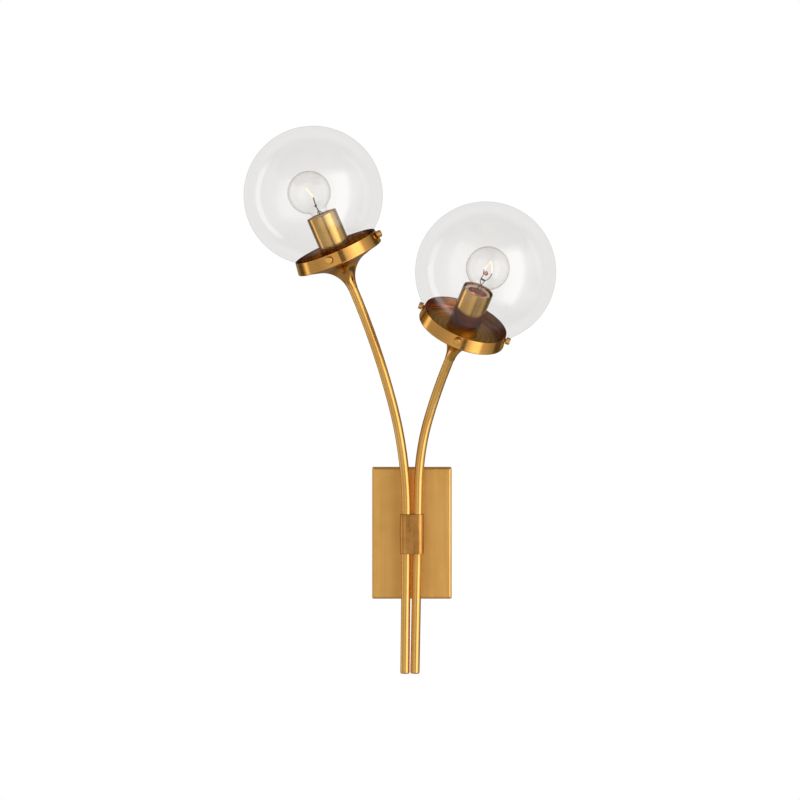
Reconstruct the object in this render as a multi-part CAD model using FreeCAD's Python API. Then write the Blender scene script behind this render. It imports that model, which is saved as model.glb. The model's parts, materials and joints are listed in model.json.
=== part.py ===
import FreeCAD, Part
import math
import os
from FreeCAD import Placement, Rotation, Vector

# Double arm wall sconce: a rectangular backplate, two bent brass tubes bound by a band,
# and a clear glass globe in a flared shade holder at the end of each tube.
# Millimetres. X to the right, Y into the wall, Z up.
# The origin is the middle of the backplate's back, so the wall is the plane Y = 0.

# Backplate, a pressed pan that stands on the wall
PLATE_WIDTH = 82.5
PLATE_HEIGHT = 136.5
PLATE_DEPTH = 24.0
PLATE_WALL = 1.2
PLATE_EDGE_RADIUS = 3.0
PLATE_CORNER_RADIUS = 1.5
PLATE_INNER_RADIUS = 0.4

# Crossbar that is screwed to the electrical box, and the screws that hold the pan on it
BAR_WIDTH = 20.0
BAR_THICKNESS = 2.0
BAR_TAB_DEPTH = 17.0
BAR_END_GAP = 0.35
BAR_BEND_RADIUS = 1.8
BAR_CENTRE_HOLE = 10.5
BOX_SCREW_SPACING = 79.4
BOX_SCREW_TRAVEL = 9.5
BOX_SLOT_WIDTH = 4.8
SET_SCREW_DIAMETER = 4.0
SET_SCREW_LENGTH = 5.0
SET_SCREW_HEIGHT = 12.0
SET_SCREW_RECESS = 0.2
SET_SCREW_SLOT_WIDTH = 0.7
SET_SCREW_SLOT_DEPTH = 1.0
GROUND_SCREW_DIAMETER = 4.0
GROUND_SCREW_HEAD = 7.5
GROUND_SCREW_HEAD_HEIGHT = 3.0
GROUND_SCREW_SLOT_WIDTH = 1.0
GROUND_SCREW_SLOT_DEPTH = 1.2
GROUND_SCREW_OFFSET = 17.0
WALL_GAP = 0.3

# Band round both tubes, and the threaded pipe that holds it off the backplate
BAND_HEIGHT = 41.0
BAND_WALL = 1.2
BAND_CLEARANCE = 0.25
BAND_BEVEL = 0.35
PIPE_DIAMETER = 9.8
PIPE_BORE = 7.0
PIPE_PAST_NUT = 2.0
SPACER_DIAMETER = 14.0
SPACER_BEVEL = 0.5
NUT_FLATS = 14.0
NUT_THICKNESS = 4.5
NUT_FACE_INSET = 0.1
WASHER_DIAMETER = 17.0
WASHER_THICKNESS = 0.8
WASHER_TEETH = 10
WASHER_NOTCH_RADIUS = 1.3
THREAD_CLEARANCE = 0.05

# Arms
TUBE_DIAMETER = 9.5
TUBE_WALL = 1.0
TUBE_SPACING = 11.55
TUBE_REACH = 45.0
TUBE_FOOT = 142.5
WIRE_HOLE = 5.0
PLUG_DEPTH = 6.0
PLUG_DOME = 1.2

# Bell under each shade holder
BELL_LENGTH = 34.0
BELL_MOUTH_RADIUS = 43.0
BELL_ARC_RADIUS = 30.0
BELL_ARC_TURN = 73.0
BELL_WALL = 1.0
BELL_THROAT_WALL = 1.3
BELL_LIP_WIDTH = 4.0
BELL_NECK_LENGTH = 6.0
BELL_NECK_WALL = 0.25
BELL_CLEARANCE = 0.05
COUPLING_DIAMETER = 15.0
COUPLING_LENGTH = 12.0
COUPLING_SOCKET = 8.0
SPIGOT_PAST_NUT = 1.0

# Shade holder
HOLDER_RIM_RADIUS = 43.8
HOLDER_FOOT_RADIUS = 45.8
HOLDER_HEIGHT = 13.2
HOLDER_WALL = 1.0
HOLDER_FOOT_FILLET = 1.2

# Thumb screws that grip the glass
SCREWS_PER_HOLDER = 3
SCREW_STEP = 90.0
SCREW_DIAMETER = 3.4
SCREW_HEAD_DIAMETER = 7.2
SCREW_HEAD_LENGTH = 4.2
SCREW_HEAD_GAP = 0.35
SCREW_TIP_GAP = 0.3
SCREW_BELOW_RIM = 4.6
SCREW_HEAD_SIDES = 12
SCREW_HEAD_BEVEL = 0.6
SCREW_POINT = 0.4

# Glass globe, whose ball meets its neck in a corner just under the holder's rim
GLOBE_RADIUS = 70.4
GLOBE_WALL = 2.2
GLOBE_CORNER_BELOW_RIM = 0.93
GLOBE_NECK_RADIUS = 41.0
GLOBE_SEAT_GAP = 0.3
GLOBE_LIP_RADIUS = 0.9

# Socket cover, socket and lamp
COVER_RADIUS = 15.7
COVER_TOP = 35.2
COVER_WALL = 0.8
BRACKET_THICKNESS = 1.2
BRACKET_WIDTH = 8.0
BRACKET_BASE_WIDTH = 14.0
BRACKET_LEG_TOP = 6.0
BRACKET_COVER_GAP = 0.5
SOCKET_RIM_RADIUS = 13.4
SOCKET_RIM_HEIGHT = 3.5
SOCKET_BEVEL = 0.6
SOCKET_BELOW_COVER = 1.6
SOCKET_BODY_RADIUS = 11.4
SOCKET_LENGTH = 34.0
SOCKET_MOUTH_RADIUS = 10.2
SOCKET_MOUTH_DEPTH = 8.0
SOCKET_FLOOR = 4.0
SHELL_WALL = 0.5
SHELL_CLEARANCE = 0.25
SHELL_ABOVE_FLOOR = 2.0
SHELL_BEAD_WIDTH = 0.8
SHELL_BEAD_HEIGHT = 0.4
CONTACT_BASE_RADIUS = 3.5
CONTACT_BASE_HEIGHT = 0.8
CONTACT_RADIUS = 1.6
CONTACT_BEVEL = 0.5
LAMP_CAP_RADIUS = 5.85
LAMP_CAP_LENGTH = 14.0
LAMP_CAP_WALL = 0.4
LAMP_CAP_THREADS = 4
LAMP_CAP_ABOVE_SHELL = 0.6
LAMP_CAP_SHOULDER_WIDTH = 1.5
LAMP_CAP_SHOULDER_HEIGHT = 1.0
LAMP_CAP_COLLAR = 2.0
LAMP_THREAD_ROOT = 0.1
LAMP_BEAD_RADIUS = 2.0
LAMP_BEAD_HEIGHT = 0.7
LAMP_TIP_RADIUS = 1.3
LAMP_RADIUS = 22.0
LAMP_HEIGHT = 61.0
LAMP_GLASS_WALL = 0.7
LAMP_NECK_RADIUS = 9.6
LAMP_NECK_FOOT_RADIUS = 6.3
LAMP_NECK_WAIST = 0.4
LAMP_FOOT_GAP = 0.03
LAMP_TIP_GAP = 0.3
LAMP_TIP_HEIGHT = 1.5
STEM_RADIUS = 2.6
STEM_GAP = 0.4
STEM_FLARE_HEIGHT = 0.8
STEM_CONE_HEIGHT = 4.0
STEM_PINCH_RADIUS = 1.6
STEM_PINCH_HEIGHT = 2.0
STEM_TOP_BELOW_CENTRE = 22.0
FILAMENT_DIAMETER = 0.6
FILAMENT_HALF_WIDTH = 4.2
FILAMENT_ABOVE_CENTRE = 7.0
FILAMENT_BEND_BELOW_CENTRE = 0.8
FILAMENT_FOOT_BELOW_CENTRE = 6.0
LEAD_DIAMETER = 0.5
LEAD_HALF_SPACING = 0.9
LEAD_BEND_BELOW_CENTRE = 13.5
LEAD_END_LENGTH = 1.2

# Travel of the pieces that come off
GLOBE_SPARE_LIFT = 5.1
LAMP_SPARE_LIFT = 4.0
SCREW_LIFT = 2.0

# Each arm leans a little, rises straight, then bends in two arcs towards its heading.
# Heading is the angle from the plane of the wall towards the room.
ARMS = {
    "left": dict(side=-1.0, lean=0.6, rise=16.4, first_radius=411.0, first_turn=16.9,
                 second_radius=786.0, tilt=25.95, heading=25.0,
                 first_screw=-13.6, lamp_lean=4.6, lamp_lean_heading=-70.0, filament_turn=6.0),
    "right": dict(side=1.0, lean=1.1, rise=49.7, first_radius=169.0, first_turn=25.0,
                  second_radius=479.0, tilt=33.15, heading=53.75,
                  first_screw=-90.0, lamp_lean=1.0, lamp_lean_heading=90.0, filament_turn=90.0),
}

WALL_PLANE = 0.0
UP = Vector(0, 0, 1)
INTO_WALL = Vector(0, 1, 0)
TUBE_RADIUS = TUBE_DIAMETER / 2
HALF_HEIGHT = PLATE_HEIGHT / 2
PLATE_FRONT = -PLATE_DEPTH
PLATE_INNER_FRONT = PLATE_FRONT + PLATE_WALL
HOLDER_UNDERSIDE = -HOLDER_HEIGHT
HOLDER_FLOOR = HOLDER_UNDERSIDE + HOLDER_WALL
HOLDER_SLOPE = (HOLDER_FOOT_RADIUS - HOLDER_RIM_RADIUS) / HOLDER_HEIGHT
GLOBE_FOOT = HOLDER_FLOOR + GLOBE_SEAT_GAP
GLOBE_CORNER = -GLOBE_CORNER_BELOW_RIM
GLOBE_NECK_BORE = GLOBE_NECK_RADIUS - GLOBE_WALL
GLOBE_CENTRE = GLOBE_CORNER + math.sqrt(GLOBE_RADIUS ** 2 - GLOBE_NECK_RADIUS ** 2)
BRACKET_TOP = HOLDER_FLOOR + BRACKET_THICKNESS
SPIGOT_TOP = BRACKET_TOP + NUT_THICKNESS + SPIGOT_PAST_NUT
SOCKET_TOP = COVER_TOP - SOCKET_BELOW_COVER
SOCKET_FOOT = SOCKET_TOP - SOCKET_LENGTH
SHELL_TOP = SOCKET_TOP - SOCKET_MOUTH_DEPTH
SHELL_RADIUS = LAMP_CAP_RADIUS + SHELL_CLEARANCE + SHELL_WALL
CONTACT_FOOT = SOCKET_FOOT + SOCKET_FLOOR
LAMP_CAP_TOP = SHELL_TOP + LAMP_CAP_ABOVE_SHELL
LAMP_CAP_FOOT = LAMP_CAP_TOP - LAMP_CAP_LENGTH
LAMP_CAP_END_BORE = LAMP_CAP_RADIUS - 2 * LAMP_CAP_WALL - LAMP_CAP_SHOULDER_WIDTH
LAMP_BEAD_FOOT = LAMP_CAP_FOOT - LAMP_BEAD_HEIGHT
LAMP_TIP = LAMP_CAP_FOOT - LAMP_TIP_HEIGHT

# Travel that frees a globe from its lamp and a lamp from its socket, each with room to spare
GLOBE_LIFT = LAMP_HEIGHT + LAMP_RADIUS - GLOBE_FOOT + GLOBE_SPARE_LIFT
LAMP_LIFT = LAMP_CAP_LENGTH + SOCKET_MOUTH_DEPTH + LAMP_SPARE_LIFT

# How far a cutting tool runs past the face that it opens
PAST = 1.0

os.makedirs("parts", exist_ok=True)


def save(name, shape):
    shape.exportStep("parts/" + name + ".step")


def polar(radius, degrees, height=0.0):
    angle = math.radians(degrees)
    return Vector(radius * math.cos(angle), radius * math.sin(angle), height)


def rod(radius, start, end):
    """A round bar between two points."""
    run = end - start
    return Part.makeCylinder(radius, run.Length, start, run)


def tube(outer, inner, start, end):
    return rod(outer, start, end).cut(rod(inner, start, end))


def turned(outline):
    """A solid turned about the local Z axis from points and arcs given as (radius, height).

    An arc is a pair: the point that it passes through, then the point where it ends."""
    first = Vector(outline[0][0], 0, outline[0][1])
    here = first
    edges = []
    for step in outline[1:] + [outline[0]]:
        if isinstance(step[0], tuple):
            through = Vector(step[0][0], 0, step[0][1])
            target = Vector(step[1][0], 0, step[1][1])
            edges.append(Part.Arc(here, through, target).toShape())
        else:
            target = Vector(step[0], 0, step[1])
            if (target - here).Length < 1e-7:
                continue
            edges.append(Part.LineSegment(here, target).toShape())
        here = target
    face = Part.Face(Part.Wire(edges))
    return face.revolve(Vector(0, 0, 0), UP, 360)


def hexagon(flats, foot, height):
    corners = [polar(flats / math.sqrt(3), 60 * index, foot) for index in range(7)]
    return Part.Face(Part.makePolygon(corners)).extrude(Vector(0, 0, height))


def hex_nut(foot, height):
    """A hexagon nut on the pipe thread, its corners turned off at both faces."""
    bore = PIPE_DIAMETER / 2 + THREAD_CLEARANCE
    corner = NUT_FLATS / math.sqrt(3)
    chamfer = corner - NUT_FLATS / 2 - NUT_FACE_INSET
    blank = turned([(0, foot), (corner - chamfer, foot), (corner, foot + chamfer / 2),
                    (corner, foot + height - chamfer / 2), (corner - chamfer, foot + height),
                    (0, foot + height)])
    nut = hexagon(NUT_FLATS, foot, height).common(blank)
    return nut.cut(rod(bore, Vector(0, 0, foot), Vector(0, 0, foot + height)))


def toward_wall(shape, y):
    """Stand a part that was made along Z at the ferrule's axis, with its foot at Y = y."""
    return shape.transformed(Placement(Vector(0, y, 0), Rotation(UP, INTO_WALL)).toMatrix())


def arm_frame(arm):
    """The leaning upright of an arm, its bend direction and the point where it crosses Z = 0."""
    lean = math.radians(arm["lean"])
    heading = math.radians(arm["heading"])
    up = Vector(math.sin(lean), 0, math.cos(lean))
    across = Vector(math.cos(lean), 0, -math.sin(lean))
    bend = across * (arm["side"] * math.cos(heading)) - INTO_WALL * math.sin(heading)
    crossing = Vector(arm["side"] * TUBE_SPACING / 2, -TUBE_REACH, 0)
    return up, bend, crossing


def arm_route(arm):
    """The tube's runs in order: each is its start, its tangent, its length or turn and its radius."""
    up, bend, crossing = arm_frame(arm)
    point = crossing - up * TUBE_FOOT
    route = [dict(start=point, tangent=up, length=TUBE_FOOT + arm["rise"])]
    point = crossing + up * arm["rise"]
    turned_so_far = 0.0
    for radius, turn in ((arm["first_radius"], arm["first_turn"]),
                         (arm["second_radius"], arm["tilt"] - arm["first_turn"])):
        tangent = bend * math.sin(turned_so_far) + up * math.cos(turned_so_far)
        inward = bend * math.cos(turned_so_far) - up * math.sin(turned_so_far)
        centre = point + inward * radius
        route.append(dict(start=point, tangent=tangent, centre=centre, axis=tangent.cross(inward),
                          turn=turn))
        turned_so_far += math.radians(turn)
        inward = bend * math.cos(turned_so_far) - up * math.sin(turned_so_far)
        point = centre - inward * radius
    tangent = bend * math.sin(turned_so_far) + up * math.cos(turned_so_far)
    reach = BELL_LENGTH - COUPLING_LENGTH + COUPLING_SOCKET
    route.append(dict(start=point, tangent=tangent, length=reach))
    return route


def head_placement(arm):
    """The frame of a head: origin in the middle of the holder's rim, Z along its axis,
    X towards the room, in the plane of the rim."""
    last = arm_route(arm)[-1]
    axis = last["tangent"]
    rim = last["start"] + axis * (BELL_LENGTH + HOLDER_HEIGHT)
    room = INTO_WALL * -1
    front = room - axis * room.dot(axis)
    front.normalize()
    rotation = Rotation(front, axis.cross(front), axis, "ZXY")
    return Placement(rim, rotation)


def sweep_round(radius, route):
    """Follow the route with a round bar, run by run."""
    pieces = []
    for run in route:
        circle = Part.Circle(run["start"], run["tangent"], radius).toShape()
        face = Part.Face(Part.Wire(circle))
        if "turn" in run:
            pieces.append(face.revolve(run["centre"], run["axis"], run["turn"]))
        else:
            pieces.append(face.extrude(run["tangent"] * run["length"]))
    return pieces[0].fuse(pieces[1:]).removeSplitter()


def arm_tube(arm):
    route = arm_route(arm)
    solid = sweep_round(TUBE_RADIUS, route).cut(sweep_round(TUBE_RADIUS - TUBE_WALL, route))
    crossing = arm_frame(arm)[2]
    behind = Vector(crossing.x, crossing.y + TUBE_DIAMETER, 0)
    return solid.cut(rod(WIRE_HOLE / 2, crossing, behind))


def end_plug(arm):
    """A turned plug with an eased edge that closes the tube's open foot."""
    foot = arm_route(arm)[0]
    bore = TUBE_RADIUS - TUBE_WALL
    dome = turned([(0, PLUG_DEPTH), (bore, PLUG_DEPTH), (bore, 0), (TUBE_RADIUS, 0),
                   (TUBE_RADIUS - PLUG_DOME * 0.3, -PLUG_DOME * 0.7),
                   (TUBE_RADIUS - PLUG_DOME, -PLUG_DOME), (0, -PLUG_DOME)])
    return dome.transformed(Placement(foot["start"], Rotation(UP, foot["tangent"])).toMatrix())


def backplate():
    block = Part.makeBox(PLATE_WIDTH, PLATE_DEPTH, PLATE_HEIGHT,
                         Vector(-PLATE_WIDTH / 2, PLATE_FRONT, -HALF_HEIGHT))
    outer = round_pan(block, PLATE_CORNER_RADIUS, PLATE_EDGE_RADIUS)
    hollow = Part.makeBox(PLATE_WIDTH - 2 * PLATE_WALL, PLATE_DEPTH, PLATE_HEIGHT - 2 * PLATE_WALL,
                          Vector(PLATE_WALL - PLATE_WIDTH / 2, PLATE_INNER_FRONT,
                                 PLATE_WALL - HALF_HEIGHT))
    inner = round_pan(hollow, max(PLATE_CORNER_RADIUS - PLATE_WALL, PLATE_INNER_RADIUS),
                      max(PLATE_EDGE_RADIUS - PLATE_WALL, PLATE_INNER_RADIUS))
    pan = outer.cut(inner)
    bore = PIPE_DIAMETER / 2 + THREAD_CLEARANCE
    pan = pan.cut(rod(bore, Vector(0, PLATE_FRONT - PAST, 0), Vector(0, PLATE_INNER_FRONT + PAST, 0)))
    for sign in (-1, 1):
        pan = pan.cut(rod(SET_SCREW_DIAMETER / 2 + THREAD_CLEARANCE,
                          Vector(0, -SET_SCREW_HEIGHT, sign * (HALF_HEIGHT - 2 * PLATE_WALL)),
                          Vector(0, -SET_SCREW_HEIGHT, sign * (HALF_HEIGHT + PLATE_WALL))))
    return pan


def round_pan(block, corner_radius, edge_radius):
    """Round the four corners of a pan, then the edge of its front face."""
    front = block.BoundBox.YMin
    corners = [edge for edge in block.Edges
               if abs(edge.Vertexes[0].Y - edge.Vertexes[1].Y) > 1e-6]
    block = block.makeFillet(corner_radius, corners)
    rim = [edge for edge in block.Edges
           if all(abs(vertex.Y - front) < 1e-6 for vertex in edge.Vertexes)]
    return block.makeFillet(edge_radius, rim)


def crossbar():
    """A flat bar on the wall with two slots for the box screws, and a tab bent up at each end."""
    half = HALF_HEIGHT - PLATE_WALL - BAR_END_GAP
    back = WALL_PLANE - BAR_THICKNESS
    bar = Part.makeBox(BAR_WIDTH, BAR_THICKNESS, 2 * half, Vector(-BAR_WIDTH / 2, back, -half))
    for sign in (-1, 1):
        low = half - BAR_THICKNESS if sign > 0 else -half
        tab = Part.makeBox(BAR_WIDTH, BAR_TAB_DEPTH, BAR_THICKNESS,
                           Vector(-BAR_WIDTH / 2, WALL_PLANE - BAR_TAB_DEPTH, low))
        bar = bar.fuse(tab)
    bar = bar.removeSplitter()
    bends = [edge for edge in bar.Edges
             if abs(edge.Length - BAR_WIDTH) < 1e-6
             and all(abs(vertex.Y - WALL_PLANE) < 1e-6 and abs(abs(vertex.Z) - half) < 1e-6
                     for vertex in edge.Vertexes)]
    bar = bar.makeFillet(BAR_BEND_RADIUS, bends)
    through = BAR_THICKNESS + 2 * PAST
    cuts = [Part.makeCylinder(BAR_CENTRE_HOLE / 2, through, Vector(0, back - PAST, 0), INTO_WALL)]
    for sign in (-1, 1):
        middle = sign * BOX_SCREW_SPACING / 2
        ends = [Part.makeCylinder(BOX_SLOT_WIDTH / 2, through,
                                  Vector(0, back - PAST, middle + step * BOX_SCREW_TRAVEL / 2),
                                  INTO_WALL)
                for step in (-1, 1)]
        waist = Part.makeBox(BOX_SLOT_WIDTH, through, BOX_SCREW_TRAVEL,
                             Vector(-BOX_SLOT_WIDTH / 2, back - PAST, middle - BOX_SCREW_TRAVEL / 2))
        cuts.append(waist.fuse(ends).removeSplitter())
        cuts.append(rod(SET_SCREW_DIAMETER / 2 + THREAD_CLEARANCE,
                        Vector(0, -SET_SCREW_HEIGHT, sign * (half - 2 * BAR_THICKNESS)),
                        Vector(0, -SET_SCREW_HEIGHT, sign * (half + BAR_THICKNESS))))
    cuts.append(Part.makeCylinder(GROUND_SCREW_DIAMETER / 2 + THREAD_CLEARANCE, through,
                                  Vector(0, back - PAST, GROUND_SCREW_OFFSET), INTO_WALL))
    return bar.cut(cuts)


def set_screws():
    """Headless screws with a slot, flush with the pan's top and bottom walls."""
    screws = []
    end = HALF_HEIGHT - SET_SCREW_RECESS
    for sign in (-1, 1):
        outer = Vector(0, -SET_SCREW_HEIGHT, sign * end)
        inner = Vector(0, -SET_SCREW_HEIGHT, sign * (end - SET_SCREW_LENGTH))
        slot = Part.makeBox(SET_SCREW_DIAMETER + 2 * PAST, SET_SCREW_SLOT_WIDTH,
                            2 * SET_SCREW_SLOT_DEPTH,
                            Vector(-SET_SCREW_DIAMETER / 2 - PAST,
                                   -SET_SCREW_HEIGHT - SET_SCREW_SLOT_WIDTH / 2,
                                   outer.z - SET_SCREW_SLOT_DEPTH))
        screws.append(rod(SET_SCREW_DIAMETER / 2, outer, inner).cut(slot))
    return Part.makeCompound(screws)


def ground_screw():
    """Slotted hexagon head on the crossbar's front, its thread through the bar."""
    bar_front = WALL_PLANE - BAR_THICKNESS
    head = GROUND_SCREW_HEAD_HEIGHT
    blank = hexagon(GROUND_SCREW_HEAD, 0, head)
    slot = Part.makeBox(GROUND_SCREW_HEAD * 2, GROUND_SCREW_SLOT_WIDTH, GROUND_SCREW_SLOT_DEPTH,
                        Vector(-GROUND_SCREW_HEAD, -GROUND_SCREW_SLOT_WIDTH / 2, 0))
    shank = rod(GROUND_SCREW_DIAMETER / 2, Vector(0, 0, head),
                Vector(0, 0, head + BAR_THICKNESS - WALL_GAP))
    screw = blank.cut(slot).fuse(shank).removeSplitter()
    screw = toward_wall(screw, bar_front - head)
    screw.translate(Vector(0, 0, GROUND_SCREW_OFFSET))
    return screw


def obround(half_span, radius, height):
    """A bar of obround section along Z, centred on Z = 0."""
    low = -height / 2
    left = Vector(-half_span, 0, low)
    right = Vector(half_span, 0, low)
    rise = Vector(0, radius, 0)
    outward = Vector(radius, 0, 0)
    edges = [Part.LineSegment(left - rise, right - rise).toShape(),
             Part.Arc(right - rise, right + outward, right + rise).toShape(),
             Part.LineSegment(right + rise, left + rise).toShape(),
             Part.Arc(left + rise, left - outward, left - rise).toShape()]
    return Part.Face(Part.Wire(edges)).extrude(Vector(0, 0, height))


def band_sizes():
    """Half the span between the band's end curves, and the radius of those curves inside."""
    lean = max(abs(math.tan(math.radians(arm["lean"]))) for arm in ARMS.values())
    drift = lean * BAND_HEIGHT / 2
    inner = TUBE_RADIUS + BAND_CLEARANCE
    return TUBE_SPACING / 2 + drift, inner


def band():
    half_span, inner = band_sizes()
    outer = inner + BAND_WALL
    body = obround(half_span, outer, BAND_HEIGHT)
    ends = [edge for edge in body.Edges
            if all(abs(abs(vertex.Z) - BAND_HEIGHT / 2) < 1e-6 for vertex in edge.Vertexes)]
    body = body.makeChamfer(BAND_BEVEL, ends)
    body = body.cut(obround(half_span, inner, BAND_HEIGHT + 2 * PAST))
    body.translate(Vector(0, -TUBE_REACH, 0))
    bore = PIPE_DIAMETER / 2 + THREAD_CLEARANCE
    return body.cut(rod(bore, Vector(0, -TUBE_REACH + inner - PAST, 0),
                        Vector(0, -TUBE_REACH + outer + PAST, 0)))


def pipe():
    """The threaded pipe from inside the band, through the backplate, to past its nut."""
    inner = band_sizes()[1]
    start = Vector(0, -TUBE_REACH + inner, 0)
    end = Vector(0, PLATE_INNER_FRONT + WASHER_THICKNESS + NUT_THICKNESS + PIPE_PAST_NUT, 0)
    return tube(PIPE_DIAMETER / 2, PIPE_BORE / 2, start, end)


def spacer():
    """The turned collar over the pipe, between the band and the backplate."""
    inner = band_sizes()[1]
    length = TUBE_REACH - inner - BAND_WALL - PLATE_DEPTH
    radius = SPACER_DIAMETER / 2
    bore = PIPE_DIAMETER / 2 + THREAD_CLEARANCE
    edge = SPACER_BEVEL
    collar = turned([(bore, 0), (radius - edge, 0), (radius, edge), (radius, length - edge),
                     (radius - edge, length), (bore, length)])
    return toward_wall(collar, PLATE_FRONT - length)


def lock_washer():
    """A washer with teeth round its edge."""
    bore = PIPE_DIAMETER / 2 + THREAD_CLEARANCE
    radius = WASHER_DIAMETER / 2
    disc = rod(radius, Vector(0, 0, 0), Vector(0, 0, WASHER_THICKNESS))
    disc = disc.cut(rod(bore, Vector(0, 0, 0), Vector(0, 0, WASHER_THICKNESS)))
    for index in range(WASHER_TEETH):
        place = polar(radius, 360 * index / WASHER_TEETH)
        disc = disc.cut(Part.makeCylinder(WASHER_NOTCH_RADIUS, WASHER_THICKNESS, place))
    return toward_wall(disc, PLATE_INNER_FRONT)


def pipe_nut():
    return toward_wall(hex_nut(0, NUT_THICKNESS), PLATE_INNER_FRONT + WASHER_THICKNESS)


def bell_outline(neck_radius, foot):
    """The trumpet curve from the neck to the mouth: end of the arc and a point on it."""
    half = math.radians(BELL_ARC_TURN / 2)
    full = math.radians(BELL_ARC_TURN)
    through = (neck_radius + BELL_ARC_RADIUS * (1 - math.cos(half)),
               foot + BELL_ARC_RADIUS * math.sin(half))
    end = (neck_radius + BELL_ARC_RADIUS * (1 - math.cos(full)),
           foot + BELL_ARC_RADIUS * math.sin(full))
    return through, end


def bell():
    """A spun trumpet: a close neck on the tube, and a wide mouth under the shade holder."""
    foot = HOLDER_UNDERSIDE - BELL_LENGTH
    top = HOLDER_UNDERSIDE
    bore = TUBE_RADIUS + BELL_CLEARANCE
    neck = TUBE_RADIUS + BELL_CLEARANCE + BELL_NECK_WALL
    through, end = bell_outline(neck, foot)
    inner_through, inner_end = bell_outline(neck, foot + BELL_THROAT_WALL)
    neck_top = foot + BELL_NECK_LENGTH
    reach = math.sqrt(BELL_ARC_RADIUS ** 2 - (BELL_NECK_LENGTH - BELL_THROAT_WALL) ** 2)
    inner_start = (neck + BELL_ARC_RADIUS - reach, neck_top)
    return turned([(bore, foot), (neck, foot), (through, end), (BELL_MOUTH_RADIUS, top),
                   (BELL_MOUTH_RADIUS - BELL_LIP_WIDTH, top), inner_end,
                   (inner_through, inner_start), (bore, neck_top)])


def coupling():
    """The threaded end of the arm inside the bell; it pulls the holder down on the bell."""
    foot = HOLDER_UNDERSIDE - COUPLING_LENGTH
    bore = TUBE_RADIUS + BELL_CLEARANCE
    way = TUBE_RADIUS - TUBE_WALL
    radius = COUPLING_DIAMETER / 2
    thread = PIPE_DIAMETER / 2
    return turned([(bore, foot), (radius, foot), (radius, HOLDER_UNDERSIDE),
                   (thread, HOLDER_UNDERSIDE), (thread, SPIGOT_TOP), (way, SPIGOT_TOP),
                   (way, foot + COUPLING_SOCKET), (bore, foot + COUPLING_SOCKET)])


def holder_radius(height):
    """The holder's outer radius at a height, from its flared wall."""
    return HOLDER_RIM_RADIUS - HOLDER_SLOPE * height


def holder():
    """A shallow cup, wider at its floor than at its rim, with the holes for its screws."""
    foot = HOLDER_FOOT_RADIUS
    fillet = HOLDER_FOOT_FILLET
    bend = fillet * (1 - math.sqrt(0.5))
    bore = PIPE_DIAMETER / 2 + THREAD_CLEARANCE
    inner_foot = holder_radius(HOLDER_FLOOR) - HOLDER_WALL
    return turned([(bore, HOLDER_UNDERSIDE), (foot - fillet, HOLDER_UNDERSIDE),
                   ((foot - bend, HOLDER_UNDERSIDE + bend),
                    (holder_radius(HOLDER_UNDERSIDE + fillet), HOLDER_UNDERSIDE + fillet)),
                   (HOLDER_RIM_RADIUS, 0), (HOLDER_RIM_RADIUS - HOLDER_WALL, 0),
                   (inner_foot, HOLDER_FLOOR), (bore, HOLDER_FLOOR)])


def screw_angles(arm):
    """The screws stand a step apart and leave the rest of the ring bare."""
    return [arm["first_screw"] + SCREW_STEP * index for index in range(SCREWS_PER_HOLDER)]


def screw_hole(angle):
    height = -SCREW_BELOW_RIM
    inner = polar(GLOBE_NECK_RADIUS, angle, height)
    outer = polar(HOLDER_FOOT_RADIUS + PAST, angle, height)
    return rod(SCREW_DIAMETER / 2 + THREAD_CLEARANCE, inner, outer)


def screw_head_radius():
    """How far from the axis a screw's head begins, clear of the flared wall."""
    low_edge = -SCREW_BELOW_RIM - SCREW_HEAD_DIAMETER / 2
    return holder_radius(max(low_edge, HOLDER_UNDERSIDE)) + SCREW_HEAD_GAP


def thumb_screw(angle):
    """A thread and a many-sided round head, made along Z and then turned to point outwards."""
    tip = GLOBE_NECK_RADIUS + SCREW_TIP_GAP
    seat = screw_head_radius()
    radius = SCREW_HEAD_DIAMETER / 2
    thread = SCREW_DIAMETER / 2
    end = seat + SCREW_HEAD_LENGTH
    bevel = SCREW_HEAD_BEVEL
    blank = turned([(0, seat), (radius - bevel / 2, seat), (radius, seat + bevel / 2),
                    (radius, end - bevel), (radius - bevel, end), (0, end)])
    corners = [polar(radius, 360 * index / SCREW_HEAD_SIDES, seat)
               for index in range(SCREW_HEAD_SIDES + 1)]
    sides = Part.Face(Part.makePolygon(corners)).extrude(Vector(0, 0, SCREW_HEAD_LENGTH))
    shank = turned([(0, tip), (thread - SCREW_POINT, tip), (thread, tip + SCREW_POINT),
                    (thread, seat), (0, seat)])
    screw = blank.common(sides).fuse(shank).removeSplitter()
    outward = polar(1, angle)
    place = Placement(Vector(0, 0, -SCREW_BELOW_RIM), Rotation(UP, outward))
    return screw.transformed(place.toMatrix())


def globe():
    """The blown ball, down to the corner where its neck begins."""
    inner_radius = GLOBE_RADIUS - GLOBE_WALL
    centre = GLOBE_CENTRE
    inner_corner = centre - math.sqrt(inner_radius ** 2 - GLOBE_NECK_BORE ** 2)
    return turned([(0, centre + GLOBE_RADIUS), (0, centre + inner_radius),
                   ((inner_radius, centre), (GLOBE_NECK_BORE, inner_corner)),
                   (GLOBE_NECK_BORE, GLOBE_CORNER), (GLOBE_NECK_RADIUS, GLOBE_CORNER),
                   ((GLOBE_RADIUS, centre), (0, centre + GLOBE_RADIUS))])


def globe_neck():
    """The globe's straight neck with its soft lip, which stands in the holder."""
    soft = GLOBE_FOOT + GLOBE_LIP_RADIUS
    middle = (GLOBE_NECK_RADIUS + GLOBE_NECK_BORE) / 2
    return turned([(GLOBE_NECK_BORE, GLOBE_CORNER), (GLOBE_NECK_BORE, soft),
                   ((middle, GLOBE_FOOT), (GLOBE_NECK_RADIUS, soft)),
                   (GLOBE_NECK_RADIUS, GLOBE_CORNER)])


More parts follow.
